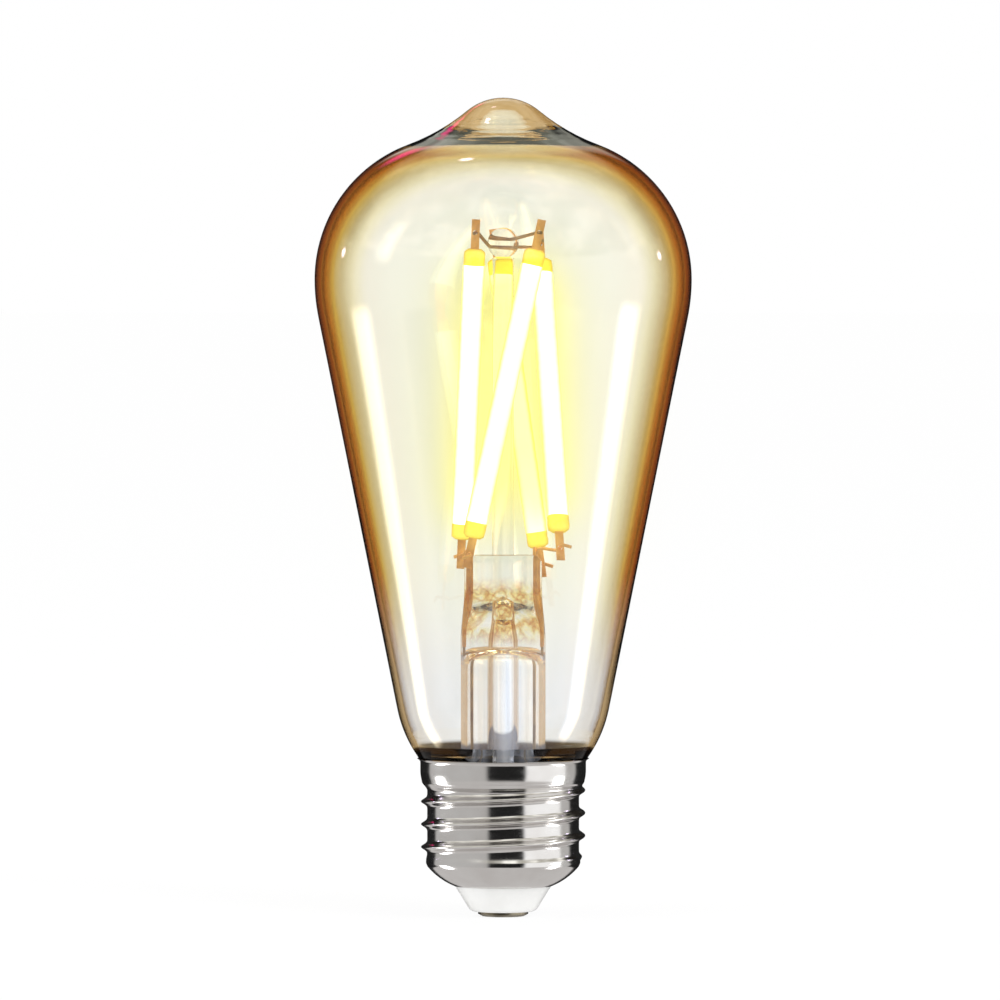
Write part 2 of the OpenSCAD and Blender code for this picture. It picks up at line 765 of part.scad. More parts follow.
module rectifier_pins() {
    color([0.8, 0.8, 0.8]) chip_legs(rectifier_x, board_mid_z, rectifier_size, leg_lift, 2);
}

module driver_chip() {
    color([0.1, 0.1, 0.1]) chip_body(driver_chip_x, board_mid_z, driver_chip_size, leg_lift);
}

module driver_chip_pins() {
    color([0.8, 0.8, 0.8]) chip_legs(driver_chip_x, board_mid_z, driver_chip_size, leg_lift, 4);
}

// Small ceramic parts in a row across the board's back
module chip_row(z, count, pitch, size) {
    for (i = [0 : count - 1]) translate([
        (i - (count - 1) / 2) * pitch - size[0] / 2, board_t / 2, z - size[2] / 2
    ]) cube(size);
}

module chip_resistors() {
    color([0.15, 0.15, 0.15]) chip_row(board_top_z - 0.8, 3, 1.6, [1, 0.45, 0.6]);
}

module chip_capacitors() {
    color([0.7, 0.55, 0.35]) chip_row(board_low_z + 1, 4, 2, [1.2, 0.7, 0.7]);
}

// Resistor that blows as a fuse, lying over the top of the board's front
module fusible_resistor() {
    body_d = 1.9;
    body_len = 5.2;
    end_len = 1.1;
    middle_z = board_top_z - body_d / 2 - 0.1;
    color([0.25, 0.55, 0.35])
        translate([-body_len / 2 - 0.6, -board_t / 2 - body_d / 2, middle_z])
            rotate([0, 90, 0]) union() {
                cylinder(d = body_d, h = end_len);
                translate([0, 0, end_len]) cylinder(d = body_d * 0.85, h = body_len - 2 * end_len);
                translate([0, 0, body_len - end_len]) cylinder(d = body_d, h = end_len);
            }
}

// Radio module that receives the commands, on a small board of its own
module radio_board() {
    color([0.08, 0.2, 0.4])
        translate([-radio_w / 2, radio_y - radio_t / 2, board_step_z])
            cube([radio_w, radio_t, radio_top_z - board_step_z]);
}

shield_size = [7.6, shield_t, 4.6];
shield_at = [-radio_w / 2 + 0.6, radio_y + radio_t / 2, board_step_z + 0.5];

// Thin metal can over the radio chip
module radio_shield() {
    sheet = 0.2;
    color([0.75, 0.75, 0.75]) translate(shield_at) difference() {
        cube(shield_size);
        translate([sheet, -1, sheet])
            cube([shield_size[0] - 2 * sheet, shield_t - sheet + 1, shield_size[2] - 2 * sheet]);
    }
}

module radio_crystal() {
    color([0.85, 0.85, 0.8]) translate(shield_at + [1.2, 0, 1.2]) cube([2, 0.6, 1.6]);
}

// Meandered aerial track beside the shield
module radio_antenna() {
    track = 0.4;
    rows = 3;
    step = 1;
    left = shield_at[0] + shield_size[0] + 0.5;
    span = radio_w / 2 - 0.5 - left;
    color([0.8, 0.55, 0.25]) translate([left, shield_at[1], shield_at[2]]) union() {
        for (i = [0 : rows]) translate([0, 0, i * step]) cube([span, 0.1, track]);
        for (i = [0 : rows - 1]) translate([i % 2 * (span - track), 0, i * step])
            cube([track, 0.1, step + track]);
    }
}

// Pins that join the radio board to the driver board
module radio_pins() {
    pin = [0.4, radio_gap, 0.4];
    color([0.8, 0.7, 0.35]) for (i = [-2 : 2])
        translate([i - pin[0] / 2, board_t / 2, radio_top_z - 1]) cube(pin);
}

module live_wire() {
    pad = [1, -(board_t + mains_wire_d) / 2, board_low_z + 1.2];
    color([0.5, 0.2, 0.15]) wire([
        [0, 0, contact_t], [0, 0, board_low_z - 1.3], [0, 0, board_low_z - 0.4],
        pad - [0.4, 0.2, 1.4], pad
    ], mains_wire_d);
}

module neutral_wire() {
    pad = [-mouth_r + 1.4, (board_t + mains_wire_d) / 2, board_low_z + 0.7];
    color([0.2, 0.3, 0.6]) wire([
        solder_c + solder_r * unit(neutral_bend - solder_c), neutral_bend,
        pad + [-1.2, 0.5, 0.1], pad
    ], mains_wire_d);
}

glass_envelope();
stem_tube();
exhaust_tube();
centre_post();
seal_wires();
lead_hook_left();
lead_hook_right();
bridge_wire_low();
bridge_wire_high();
output_wire_left();
output_wire_right();
for (k = [0 : 3]) {
    filament_carrier(k);
    filament_chips(k);
    filament_coat(k);
    filament_tabs(k);
}
basing_cement();
screw_shell();
cap_insulator();
centre_contact();
contact_rivet();
shell_solder();
insulating_sleeve();
driver_board();
smoothing_capacitor();
capacitor_leads();
inductor_core();
inductor_winding();
bridge_rectifier();
rectifier_pins();
driver_chip();
driver_chip_pins();
chip_resistors();
chip_capacitors();
fusible_resistor();
radio_board();
radio_shield();
radio_crystal();
radio_antenna();
radio_pins();
live_wire();
neutral_wire();
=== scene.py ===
"""Smart filament lamp: materials, finer meshes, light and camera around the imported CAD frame.

Units are metres. The lamp stands on its centre contact at the origin, +Z runs to the glass tip and the
camera looks along +Y.
"""
import json
import math

import bmesh
import bpy
from mathutils import Matrix, Vector


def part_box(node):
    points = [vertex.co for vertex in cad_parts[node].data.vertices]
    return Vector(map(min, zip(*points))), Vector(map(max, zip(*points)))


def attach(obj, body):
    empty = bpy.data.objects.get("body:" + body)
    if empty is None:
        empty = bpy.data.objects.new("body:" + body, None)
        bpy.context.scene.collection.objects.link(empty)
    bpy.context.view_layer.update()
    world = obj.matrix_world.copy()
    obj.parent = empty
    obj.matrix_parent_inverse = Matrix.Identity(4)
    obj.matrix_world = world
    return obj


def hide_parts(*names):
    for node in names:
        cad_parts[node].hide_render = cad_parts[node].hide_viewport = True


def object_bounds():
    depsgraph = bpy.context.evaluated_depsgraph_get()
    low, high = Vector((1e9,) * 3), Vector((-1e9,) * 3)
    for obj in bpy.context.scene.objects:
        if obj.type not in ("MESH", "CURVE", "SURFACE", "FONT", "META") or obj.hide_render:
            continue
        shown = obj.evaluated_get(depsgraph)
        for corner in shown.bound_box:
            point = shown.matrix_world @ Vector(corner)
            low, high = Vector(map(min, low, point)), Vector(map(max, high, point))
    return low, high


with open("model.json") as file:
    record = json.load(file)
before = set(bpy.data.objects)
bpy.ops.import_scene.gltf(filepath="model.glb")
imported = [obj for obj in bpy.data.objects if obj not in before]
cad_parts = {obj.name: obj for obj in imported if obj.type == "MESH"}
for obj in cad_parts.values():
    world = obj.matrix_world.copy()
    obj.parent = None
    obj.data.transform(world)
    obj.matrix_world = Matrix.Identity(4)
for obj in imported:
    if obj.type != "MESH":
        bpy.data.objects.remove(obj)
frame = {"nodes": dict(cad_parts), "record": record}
cad_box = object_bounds()

MM = 0.001
BODY = "root"
SLOT_OF = {p["node"]: p["material_slot"] for p in frame["record"]["subparts"]}


# ---------------------------------------------------------------- places taken from the frame

def size_of(node):
    """Size of a CAD node's box."""
    low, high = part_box(node)
    return high - low


lamp_low, lamp_high = cad_box
lamp_mid = (lamp_low + lamp_high) / 2
contact_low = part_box("centre_contact")[0].z
stem_low, stem_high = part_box("stem_tube")
post_low, post_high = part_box("centre_post")
neck_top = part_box("screw_shell")[1].z
exhaust_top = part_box("exhaust_tube")[1].z


# ---------------------------------------------------------------- camera

def make_camera():
    """Long lens a little above the lamp's middle, framed like a catalogue picture."""
    frame_w = 159.2 * MM
    rise = math.radians(1.6)
    distance = 1.5
    aim = Vector((-0.5 * MM, 0, 66.3 * MM))
    data = bpy.data.cameras.new("camera")
    data.sensor_width = 36
    data.lens = data.sensor_width * distance / frame_w
    data.clip_start, data.clip_end = 0.01, 60
    camera = bpy.data.objects.new("camera", data)
    camera.location = aim + distance * Vector((0, -math.cos(rise), math.sin(rise)))
    camera.rotation_euler = (math.pi / 2 - rise, 0, 0)
    bpy.context.scene.collection.objects.link(camera)
    bpy.context.scene.camera = camera


make_camera()


# ---------------------------------------------------------------- node helpers

class Nodes:
    """A node tree with short calls for adding and joining nodes."""

    def __init__(self, tree):
        self.tree = tree
        self.tree.nodes.clear()

    def add(self, kind, inputs=None, **settings):
        """Adds a node; an input is a value or another node's socket."""
        node = self.tree.nodes.new(kind)
        for key, value in settings.items():
            setattr(node, key, value)
        for key, value in (inputs or {}).items():
            if isinstance(value, bpy.types.NodeSocket):
                self.tree.links.new(value, node.inputs[key])
            else:
                node.inputs[key].default_value = value
        return node

    def ramp(self, fac, stops):
        """Colours between stops of (place, colour)."""
        node = self.add("ShaderNodeValToRGB", {"Fac": fac})
        band = node.color_ramp
        while len(band.elements) < len(stops):
            band.elements.new(1)
        for element, (place, colour) in zip(band.elements, stops):
            element.position = place
            element.color = (*colour, 1)
        return node.outputs["Color"]

    def spread(self, fac, low, high):
        """A value from 0 to 1 moved into the range from low to high."""
        return self.add(
            "ShaderNodeMapRange", {"Value": fac, "To Min": low, "To Max": high}
        ).outputs["Result"]

    def step(self, value, low, high, first=0.0, last=1.0):
        """Smooth change from first to last while a value goes from low to high."""
        return self.add("ShaderNodeMapRange", {
            "Value": value, "From Min": low, "From Max": high, "To Min": first, "To Max": last,
        }, interpolation_type="SMOOTHSTEP").outputs["Result"]

    def maths(self, operation, a, b=0.0):
        """One step of arithmetic."""
        return self.add("ShaderNodeMath", {0: a, 1: b}, operation=operation).outputs[0]

    def mix(self, fac, a, b, blend="MIX"):
        """Colour between a and b, or b blended over a."""
        return self.add(
            "ShaderNodeMix", {0: fac, 6: a, 7: b}, data_type="RGBA", blend_type=blend
        ).outputs[2]


class Shader(Nodes):
    """A material whose Principled shader is fed by nodes."""

    def __init__(self, name):
        self.mat = bpy.data.materials.new(name)
        self.mat.use_nodes = True
        super().__init__(self.mat.node_tree)
        self.out = self.add("ShaderNodeOutputMaterial")
        self.main = None

    def principled(self, **inputs):
        """The material's Principled shader; an underscore in a name stands for a space."""
        named = {key.replace("_", " "): value for key, value in inputs.items()}
        self.main = self.add("ShaderNodeBsdfPrincipled", named)
        self.tree.links.new(self.main.outputs[0], self.out.inputs["Surface"])
        return self

    def place(self, scale=(1, 1, 1)):
        """The piece's own coordinates, stretched."""
        coords = self.add("ShaderNodeTexCoord")
        return self.add(
            "ShaderNodeMapping", {"Vector": coords.outputs["Object"], "Scale": scale}
        ).outputs[0]

    def along(self, axis):
        """One of the piece's own coordinates: X, Y or Z."""
        return self.add("ShaderNodeSeparateXYZ", {0: self.place()}).outputs[axis]

    def slant(self):
        """How far the surface is seen edge on, from 0 to 1."""
        return self.add("ShaderNodeLayerWeight", {"Blend": 0.5}).outputs["Facing"]

    def noise(self, scale, detail=4.0, stretch=(1, 1, 1)):
        """A noise pattern from 0 to 1; scale counts waves in a metre."""
        return self.add("ShaderNodeTexNoise", {
            "Vector": self.place(stretch), "Scale": scale, "Detail": detail, "Roughness": 0.5,
        }).outputs["Fac"]

    def bump(self, height, strength, distance):
        """Lets a height pattern shape the Principled shader's normal."""
        node = self.add(
            "ShaderNodeBump", {"Height": height, "Strength": strength, "Distance": distance}
        )
        self.tree.links.new(node.outputs[0], self.main.inputs["Normal"])
        return self

    def feed(self, name, socket):
        """Joins a socket to an input of the Principled shader."""
        self.tree.links.new(socket, self.main.inputs[name])
        return self


# ---------------------------------------------------------------- materials

def tinted_glass():
    """Blown glass with a lustre film: clear when faced, amber then brown where it is seen edge on, with
    a painted pink sheen on the right-hand edges.
    """
    s = Shader("tinted_glass").principled(
        Transmission_Weight=1.0, IOR=1.5, Roughness=0.0, Specular_IOR_Level=0.3,
        Thin_Film_Thickness=320.0, Thin_Film_IOR=1.6,
    )
    slant = s.slant()
    amber = s.ramp(slant, [
        (0.0, (0.92, 0.92, 0.86)), (0.33, (0.97, 0.96, 0.90)), (0.40, (0.94, 0.91, 0.70)),
        (0.46, (0.76, 0.70, 0.46)), (0.53, (0.58, 0.48, 0.24)), (0.56, (0.57, 0.45, 0.18)),
        (0.61, (0.72, 0.53, 0.13)), (0.655, (0.92, 0.58, 0.08)), (0.70, (0.52, 0.20, 0.025)),
        (0.76, (0.33, 0.05, 0.006)), (0.86, (0.03, 0.004, 0.002)), (1.0, (0.01, 0.002, 0.001)),
    ])
    # Painted sheen: pink on the edges, laid on the right-hand side only
    painted_sheen = s.ramp(slant, [
        (0.45, (1.0, 1.0, 1.0)), (0.68, (1.0, 0.62, 0.80)), (0.85, (1.0, 0.5, 0.9)),
    ])
    smoke = s.ramp(slant, [
        (0.0, (0.90, 0.905, 0.91)), (0.34, (0.90, 0.905, 0.91)), (0.43, (0.84, 0.85, 0.85)),
        (0.52, (0.79, 0.80, 0.80)), (0.60, (0.90, 0.94, 0.96)), (0.70, (0.70, 0.78, 0.90)),
        (0.78, (0.40, 0.40, 0.42)), (0.88, (0.02, 0.018, 0.016)), (1.0, (0.008, 0.004, 0.003)),
    ])
    pale = s.ramp(slant, [
        (0.0, (0.92, 0.90, 0.82)), (0.5, (0.90, 0.86, 0.70)), (0.8, (0.90, 0.80, 0.54)),
        (0.93, (0.80, 0.62, 0.32)), (1.0, (0.20, 0.08, 0.03)),
    ])
    height = s.along("Z")
    upper = s.step(height, 34 * MM, 56 * MM)
    nose = s.step(height, lamp_high.z - 8.6 * MM, lamp_high.z - 6.2 * MM)
    # Share of the painted pink sheen, rising towards the right-hand side
    right = s.step(s.along("X"), 8 * MM, 26 * MM, last=0.3)
    warm = s.mix(right, amber, painted_sheen, "MULTIPLY")
    s.feed("Base Color", s.mix(nose, s.mix(upper, smoke, warm), pale))
    ripples = s.noise(55, detail=1.5, stretch=(1, 1, 0.35))
    s.bump(ripples, 0.12, 1.2 * MM)
    return s.mat


def neck_glass(name, bend, outside):
    """Neck glass with a painted shade: near black low round the neck; the wall on the eye's side stays
    clear before the flare.
    """
    s = Shader(name).principled(
        Transmission_Weight=1.0, IOR=bend, Roughness=0.0, Specular_IOR_Level=0.3
    )
    waves = s.maths("MULTIPLY", s.noise(60, detail=1), 0.8 * MM)
    height = s.maths("ADD", s.along("Z"), waves)
    above = s.step(height, neck_top + 1.7 * MM, neck_top + 2.5 * MM)
    flare_reach = stem_high.x + 0.8 * MM
    before_flare = s.maths("LESS_THAN", s.maths("ABSOLUTE", s.along("X")), flare_reach)
    eye_side = s.add("ShaderNodeNewGeometry").outputs["Backfacing"]
    if outside:
        eye_side = s.maths("SUBTRACT", 1.0, eye_side)
    clear = s.maths("MAXIMUM", above, s.maths("MULTIPLY", eye_side, before_flare))
    # Near-black painted shade below the clear band, standing for the dark inside of the cap seen in the
    # glass
    s.feed("Base Color", s.mix(clear, (0.003, 0.0015, 0.0008, 1), (0.88, 0.88, 0.86, 1)))
    return s.mat


def clear_glass(name, bend):
    """Pressed lamp glass with lengthwise draw lines, amber marks in the pinch and a faint painted glow
    in streaks below it.
    """
    s = Shader(name).principled(
        Transmission_Weight=1.0, IOR=bend, Roughness=0.0, Specular_IOR_Level=0.4,
        # Strength of the painted glow
        Emission_Strength=0.07,
    )
    height = s.along("Z")
    rising = s.step(height, stem_high.z - 15 * MM, stem_high.z - 11.5 * MM)
    falling = s.step(height, stem_high.z - 6.5 * MM, stem_high.z - 3 * MM, 1.0, 0.0)
    marks = s.ramp(s.noise(330, detail=3, stretch=(1, 1, 0.8)), [
        (0.36, (1.0, 0.98, 0.94)), (0.45, (0.98, 0.84, 0.40)), (0.51, (0.62, 0.25, 0.03)),
        (0.57, (0.98, 0.82, 0.36)), (0.68, (1.0, 0.98, 0.94)),
    ])
    plain = s.ramp(s.noise(420, detail=2, stretch=(1, 1, 0.03)), [
        (0.34, (0.82, 0.80, 0.77)), (0.46, (0.97, 0.94, 0.88)), (0.55, (1.0, 1.0, 1.0)),
        (0.66, (0.88, 0.91, 0.96)),
    ])
    s.feed("Base Color", s.mix(s.maths("MULTIPLY", rising, falling), plain, marks))
    # Painted glow: pale streaks of light given off by the glass below the pinch
    bands = s.ramp(s.noise(300, detail=1, stretch=(1, 1, 0.02)), [
        (0.35, (0.10, 0.09, 0.08)), (0.52, (0.75, 0.80, 0.95)), (0.7, (1.0, 1.0, 1.0)),
    ])
    s.feed("Emission Color", s.mix(rising, bands, (0, 0, 0, 1)))
    draw_lines = s.noise(900, detail=2, stretch=(1, 1, 0.02))
    s.bump(draw_lines, 0.05, 0.2 * MM)
    return s.mat


def phosphor(name, power, lit=True):
    """Silicone full of yellow phosphor; the lit stretch over the chips glows nearly white."""
    s = Shader(name).principled(Roughness=0.55, Emission_Strength=power)
    grain = s.noise(2600, detail=5)
    s.feed("Base Color", s.ramp(grain, [(0.3, (0.93, 0.66, 0.06)), (0.7, (1.0, 0.82, 0.16))]))
    white = [(0.25, (1.0, 0.95, 0.86)), (0.75, (1.0, 0.97, 0.92))]
    yellow = [(0.25, (1.0, 0.80, 0.10)), (0.75, (1.0, 0.88, 0.16))]
    glow = s.ramp(s.noise(420, detail=2), white if lit else yellow)
    side = s.ramp(s.slant(), [
        (0.1, (1, 1, 1)), (0.6, (0.5, 0.46, 0.26)), (1.0, (0.34, 0.28, 0.10)),
    ])
    s.feed("Emission Color", s.mix(1.0, glow, side, "MULTIPLY"))
    s.bump(s.noise(1500, detail=3), 0.25, 0.08 * MM)
    return s.mat


def metal(name, colour, dull, low, high, scale=900, depth=0.02, share=1.0, glow=0.0):
    """Metal whose colour and roughness vary with tarnish and wear; glow is painted light from the
    filaments, given off by the metal itself.
    """
    s = Shader(name).principled(Metallic=share, Emission_Strength=glow)
    stains = s.noise(scale * 0.35, detail=5)
    tone = s.ramp(stains, [(0.35, dull), (0.62, colour)])
    s.feed("Base Color", tone)
    # The painted glow takes the metal's own colour
    s.feed("Emission Color", tone)
    s.feed("Roughness", s.spread(s.noise(scale, detail=6), low, high))
    s.bump(s.noise(scale * 2.2, detail=4), 0.15, depth * MM)
    return s.mat


def nickel_shell():
    """Bright nickel on rolled sheet, with fine rolling lines round the cap and a few faint stains."""
    s = Shader("nickel_shell").principled(Metallic=1.0)
    s.feed("Base Color", s.ramp(
        s.noise(160, detail=5), [(0.3, (0.70, 0.68, 0.66)), (0.7, (0.80, 0.79, 0.78))]
    ))
    s.feed("Roughness", s.spread(s.noise(700, detail=6, stretch=(0.3, 0.3, 3)), 0.07, 0.2))
    s.bump(s.noise(1100, detail=5, stretch=(0.12, 0.12, 2.5)), 0.1, 0.03 * MM)
    return s.mat


def insulator():
    """White moulded insulator, slightly translucent."""
    s = Shader("insulator").principled(
        IOR=1.5, Subsurface_Weight=0.35, Subsurface_Radius=(1.0, 1.0, 1.0),
        Subsurface_Scale=1.5 * MM, Coat_Weight=0.3, Coat_Roughness=0.15,
    )
    s.feed("Base Color", s.ramp(
        s.noise(240, detail=4), [(0.3, (0.82, 0.82, 0.80)), (0.7, (0.90, 0.90, 0.885))]
    ))
    s.feed("Roughness", s.spread(s.noise(1800, detail=4), 0.28, 0.42))
    s.bump(s.noise(2600, detail=3), 0.08, 0.03 * MM)
    return s.mat


def moulded(name, dark, light, low, high, scale=1500, depth=0.05):
    """Plastic, ceramic or lacquer with fine grain and slight colour variation."""
    s = Shader(name).principled(IOR=1.5)
    s.feed("Base Color", s.ramp(s.noise(scale * 0.3, detail=4), [(0.3, dark), (0.7, light)]))
    s.feed("Roughness", s.spread(s.noise(scale, detail=5), low, high))
    s.bump(s.noise(scale * 1.6, detail=4), 0.2, depth * MM)
    return s.mat


def laminate(name, mask, track):
    """Circuit board: solder mask over tracks that show as paler bands, with a fine glass weave."""
    s = Shader(name).principled(IOR=1.5, Coat_Weight=0.5, Coat_Roughness=0.2)
    bands = s.add("ShaderNodeTexBrick", {
        "Vector": s.place(), "Color1": (*mask, 1), "Color2": (*mask, 1),
        "Mortar": (*track, 1), "Scale": 520.0, "Mortar Size": 0.035, "Mortar Smooth": 0.2,
    }, offset=0.35, squash=0.7)
    s.feed("Base Color", bands.outputs["Color"])
    s.feed("Roughness", s.spread(s.noise(2600, detail=3), 0.3, 0.45))
    s.bump(bands.outputs["Fac"], 0.3, 0.04 * MM)
    return s.mat


def coiled_wire():
    """Enamelled copper wire wound turn by turn."""
    s = Shader("winding").principled(Metallic=0.9, Coat_Weight=0.6, Coat_Roughness=0.1)
    turns = s.add("ShaderNodeTexWave", {
        "Vector": s.place(), "Scale": 1600.0, "Distortion": 0.3, "Detail": 1.0,
    }, bands_direction="Y", wave_profile="SIN")
    s.feed("Base Color", s.ramp(
        turns.outputs["Fac"], [(0.0, (0.32, 0.11, 0.03)), (0.6, (0.72, 0.34, 0.13))]
    ))
    s.feed("Roughness", s.spread(s.noise(1200), 0.2, 0.35))
    s.bump(turns.outputs["Fac"], 0.6, 0.12 * MM)
    return s.mat


MATERIALS = {
    "tinted_glass": tinted_glass(),
    "clear_glass": clear_glass("clear_glass", 1.38),
    "phosphor": phosphor("phosphor_lit", 3.6),
    "carrier": moulded("carrier", (0.74, 0.73, 0.68), (0.88, 0.87, 0.83), 0.35, 0.5),
    "led_chip": moulded("led_chip", (0.22, 0.34, 0.75), (0.4, 0.55, 0.9), 0.08, 0.15),
    # Copper glows a little: painted light from the filaments
    "copper": metal("copper", (0.95, 0.54, 0.16), (0.66, 0.30, 0.07), 0.25, 0.42, share=0.3, glow=0.24),
    "nickel_wire": metal("nickel_wire", (0.62, 0.42, 0.18), (0.30, 0.18, 0.07), 0.25, 0.4, share=0.8),
    "cement": moulded("cement", (0.05, 0.035, 0.02), (0.12, 0.09, 0.055), 0.75, 0.95, 900, 0.2),
    "nickel_shell": nickel_shell(),
    "insulator": insulator(),
    "contact_metal": metal("contact_metal", (0.36, 0.32, 0.24), (0.14, 0.12, 0.08), 0.25, 0.45),
    "solder": metal("solder", (0.62, 0.62, 0.63), (0.42, 0.42, 0.44), 0.3, 0.55, depth=0.06),
    "sleeve": moulded("sleeve", (0.05, 0.05, 0.055), (0.09, 0.09, 0.1), 0.35, 0.5),
    "board": laminate("board", (0.02, 0.14, 0.06), (0.05, 0.28, 0.12)),
    "radio_board": laminate("radio_board", (0.01, 0.05, 0.16), (0.03, 0.12, 0.3)),
    "can_sleeve": moulded("can_sleeve", (0.03, 0.04, 0.12), (0.05, 0.06, 0.17), 0.2, 0.3),
    "ferrite": moulded("ferrite", (0.05, 0.05, 0.055), (0.1, 0.1, 0.105), 0.45, 0.65, 2200, 0.1),
    "winding": coiled_wire(),
    "chip_black": moulded("chip_black", (0.02, 0.02, 0.02), (0.045, 0.045, 0.045), 0.4, 0.6, 3000),
    "chip_ceramic": moulded("chip_ceramic", (0.42, 0.28, 0.16), (0.6, 0.44, 0.27), 0.3, 0.5, 3000),
    "tinned": metal("tinned", (0.72, 0.72, 0.73), (0.55, 0.55, 0.56), 0.2, 0.4),
    "resistor_body": moulded("resistor_body", (0.07, 0.28, 0.15), (0.12, 0.4, 0.22), 0.2, 0.35),
    "gold_plate": metal("gold_plate", (0.85, 0.62, 0.22), (0.65, 0.44, 0.14), 0.18, 0.3),
    "live_cover": moulded("live_cover", (0.3, 0.05, 0.03), (0.42, 0.09, 0.05), 0.35, 0.5),
    "neutral_cover": moulded("neutral_cover", (0.05, 0.1, 0.34), (0.08, 0.15, 0.45), 0.35, 0.5),
}
BACK_PHOSPHOR = phosphor("phosphor_back", 1.7)
UNLIT_PHOSPHOR = phosphor("phosphor_end", 0.75, lit=False)
POST_GLASS = clear_glass("post_glass", 1.16)


# ---------------------------------------------------------------- mesh helpers

def smooth(mesh, angle):
    """Smooth shading with sharp edges where faces meet at more than angle degrees."""
    mesh.shade_smooth()
    mesh.set_sharp_from_angle(angle=math.radians(angle))


def new_piece(name, mesh, node, angle=35):
    """A piece that stands for a CAD node: it rides, takes the node's slot and gets its material."""
    piece = bpy.data.objects.new(name, mesh)
    bpy.context.scene.collection.objects.link(piece)
    smooth(mesh, angle)
    if not mesh.materials:
        mesh.materials.append(MATERIALS[SLOT_OF[node]])
    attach(piece, BODY)
    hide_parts(node)
    return piece


def mesh_from(name, points, faces):
    """A checked mesh from points and faces, with its normals outward."""
    mesh = bpy.data.meshes.new(name)
    mesh.from_pydata(points, [], faces)
    mesh.validate()
    shape = bmesh.new()
    shape.from_mesh(mesh)
    bmesh.ops.recalc_face_normals(shape, faces=shape.faces)
    shape.to_mesh(mesh)
    shape.free()
    return mesh


def outline_of(node):
    """A turned CAD node's outline as (radius, height) points, and whether it starts on the axis."""
    grain = 1e-6

    def key(vertex):
        radius = math.hypot(vertex.co.x, vertex.co.y)
        return (round(radius / grain), round(vertex.co.z / grain))

    mesh = frame["nodes"][node].data
    keys = [key(v) for v in mesh.vertices]
    near = {}
    for edge in mesh.edges:
        a, b = (keys[i] for i in edge.vertices)
        if a != b:
            near.setdefault(a, set()).add(b)
            near.setdefault(b, set()).add(a)
    on_axis = sorted((k for k in near if k[0] == 0), key=lambda k: -k[1])
    start = on_axis[0] if on_axis else min(near)
    route = [start]
    while True:
        on_the_axis = route[-1][0] == 0
        onward = [k for k in near[route[-1]] if k not in route and not (k[0] == 0 and on_the_axis)]
        if not onward:
            break
        route.append(min(onward))
    return [Vector((r * grain, z * grain)) for r, z in route], bool(on_axis)


def finer(points, steps, closed=False, corner=28):
    """The outline with its round stretches cut finer along a smooth curve, corners kept."""
    count = len(points)

    def at(i):
        return points[i % count] if closed else points[min(max(i, 0), count - 1)]

    def bent(i):
        before, after = at(i) - at(i - 1), at(i + 1) - at(i)
        if before.length < 1e-9 or after.length < 1e-9:
            return True
        return math.degrees(before.angle(after)) > corner

    def slope(i, a, b):
        """Slope at point i for the stretch from a to b."""
        if bent(i):
            return b - a
        before, after = at(i) - at(i - 1), at(i + 1) - at(i)
        return (at(i + 1) - at(i - 1)) * (b - a).length / (before.length + after.length)

    made = []
    for i in range(count if closed else count - 1):
        a, b = at(i), at(i + 1)
        slope_a, slope_b = slope(i, a, b), slope(i + 1, a, b)
        for k in range(steps):
            t = k / steps
            made.append(
                a * (2 * t ** 3 - 3 * t ** 2 + 1) + slope_a * (t ** 3 - 2 * t ** 2 + t)
                + b * (3 * t ** 2 - 2 * t ** 3) + slope_b * (t ** 3 - t ** 2)
            )
    if not closed:
        made.append(points[-1])
    return made


def turned(name, points, sides=160, closed=False):
    """Mesh of an outline turned round the axis; an open outline starts and ends on the axis."""
    verts, rings = [], []
    for p in points:
        if p.x < 1e-7:
            rings.append([len(verts)])
            verts.append((0, 0, p.y))
            continue
        rings.append(list(range(len(verts), len(verts) + sides)))
        for j in range(sides):
            a = 2 * math.pi * j / sides
            verts.append((p.x * math.cos(a), p.x * math.sin(a), p.y))
    faces = []
    pairs = list(zip(rings, rings[1:])) + ([(rings[-1], rings[0])] if closed else [])
    for low, high in pairs:
        for j in range(sides):
            k = (j + 1) % sides
            corners = [low[j % len(low)], low[k % len(low)], high[k % len(high)], high[j % len(high)]]
            corners = list(dict.fromkeys(corners))
            if len(corners) > 2:
                faces.append(corners)
    return mesh_from(name, verts, faces)


def eased(x):
    """Rise from 0 to 1 without a kink."""
    x = min(max(x, 0), 1)
    return x * x * (3 - 2 * x)


def between(a, b, count):
    """Evenly spaced values from a up to b, without b."""
    return [a + (b - a) * i / count for i in range(count)]


def oval(half_w, half_t, bend, sides):
    """Points round a squared oval; bend is 1 for an ellipse and less for squarer sides."""
    points = []
    for j in range(sides):
        a = 2 * math.pi * j / sides
        c, s = math.cos(a), math.sin(a)
        points.append((
            half_w * math.copysign(abs(c) ** bend, c), half_t * math.copysign(abs(s) ** bend, s)
        ))
    return points


def tube_faces(rings, sides, closed=False):
    """Faces between rings of points; closed joins the last ring to the first, or else caps end it."""
    faces = []
    for i in range(rings if closed else rings - 1):
        low, high = i * sides, (i + 1) % rings * sides
        for j in range(sides):
            k = (j + 1) % sides
            faces.append([low + j, low + k, high + k, high + j])
    if not closed:
        faces.append(list(range(sides))[::-1])
        faces.append([(rings - 1) * sides + j for j in range(sides)])
    return faces


def applied(piece):
    """Turns a piece's modifiers into its mesh."""
    graph = bpy.context.evaluated_depsgraph_get()
    mesh = bpy.data.meshes.new_from_object(piece.evaluated_get(graph))
    piece.modifiers.clear()
    piece.data = mesh
    return piece


def turned_piece(node, steps=3, sides=160, angle=35):
    """A smooth turned piece that follows a CAD node's own outline."""
    points, from_axis = outline_of(node)
    mesh = turned(node + "_mesh", finer(points, steps, not from_axis), sides, not from_axis)
    return new_piece(node + "_piece", mesh, node, angle)


